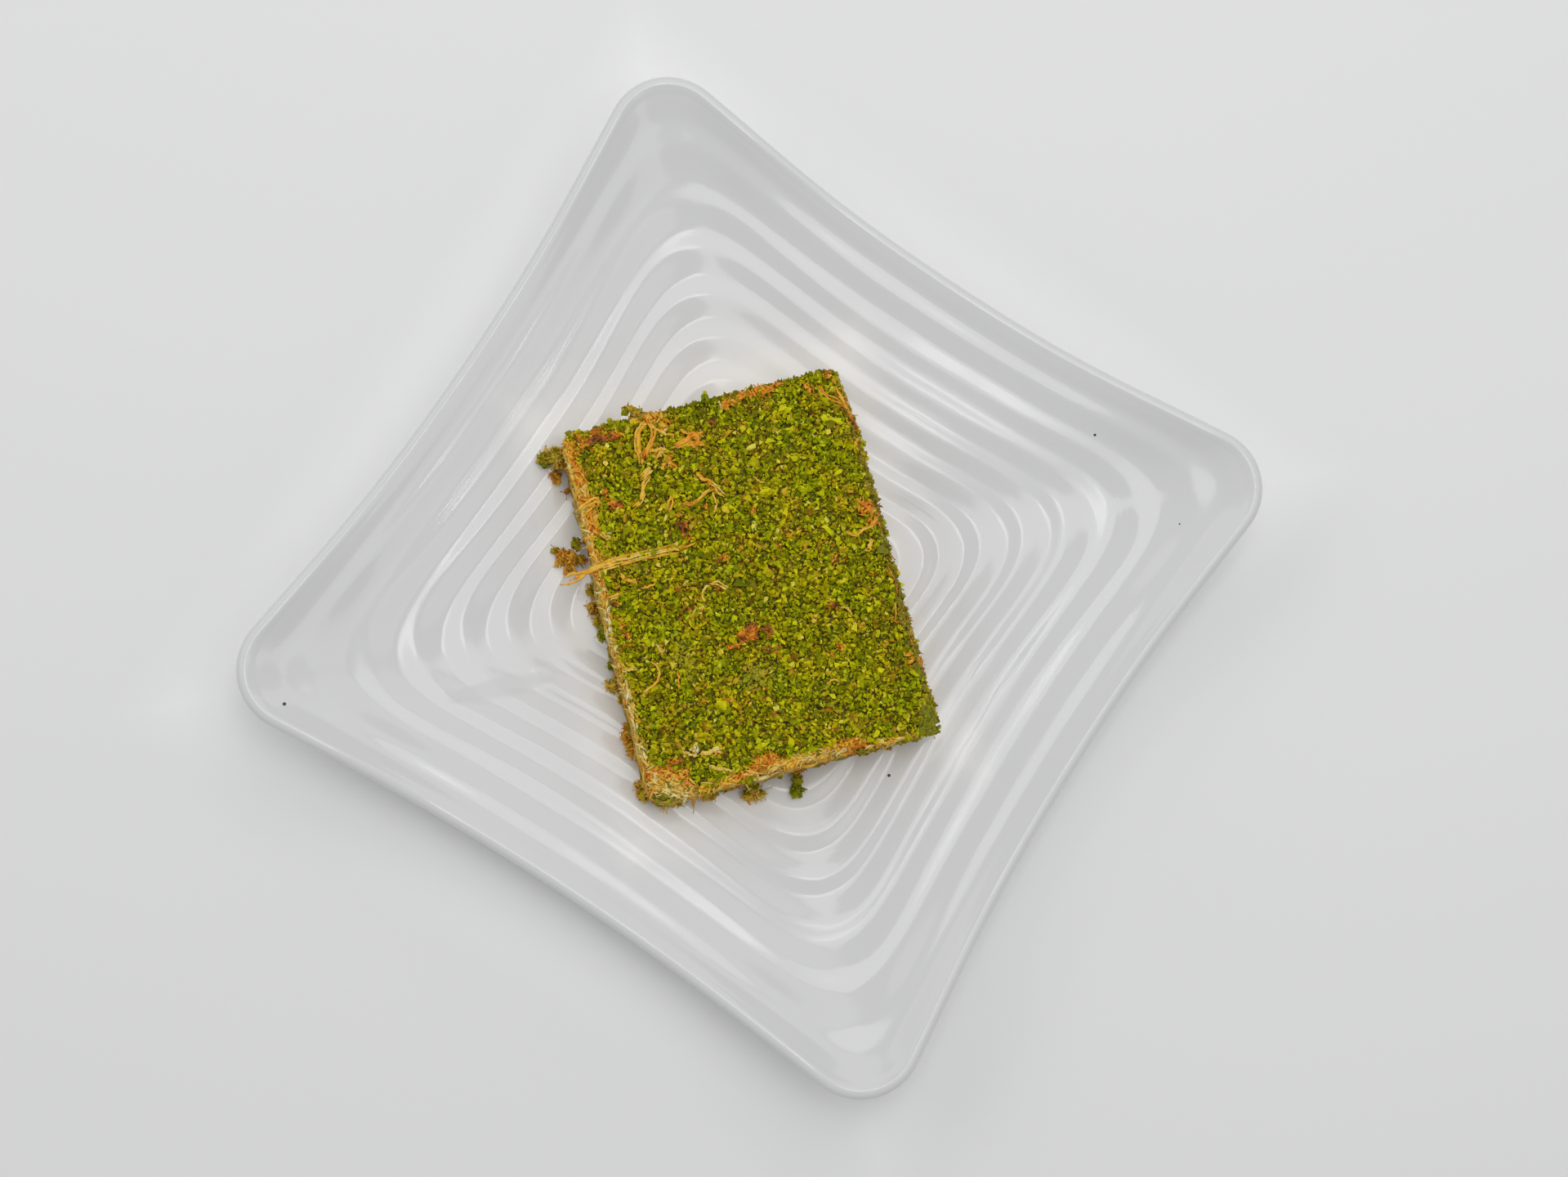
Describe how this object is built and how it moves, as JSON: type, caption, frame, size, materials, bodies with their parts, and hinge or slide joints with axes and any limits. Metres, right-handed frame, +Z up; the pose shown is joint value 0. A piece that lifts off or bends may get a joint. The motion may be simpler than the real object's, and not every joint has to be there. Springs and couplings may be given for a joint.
{
  "type": "kadaifi",
  "caption": "Oblong slice of syrupy shredded-pastry kadaifi under ground pistachio, served on a square rippled plate with upturned tips.",
  "frame": {"origin": "on the table, under the middle of the plate's foot", "axes": "+Z up; the plate's sides run along X and Y, and its tips point to the four diagonals; the slice is turned 48.1 degrees about +Z from the X axis"},
  "size_m": [0.1864, 0.1864, 0.0241],
  "materials": {
    "plate": "glossy white melamine",
    "pastry": "baked golden, damp with syrup",
    "pistachio": "rough, oily ground nut",
    "crumb": "toasted, crumbly"
  },
  "bodies": {
    "root": {"plate": "plate", "shredded_pastry": "pastry", "pistachio_topping": "pistachio", "fallen_crumb_left": "crumb", "fallen_crumb_front": "crumb", "fallen_crumb_green": "pistachio"}
  },
  "joints": []
}
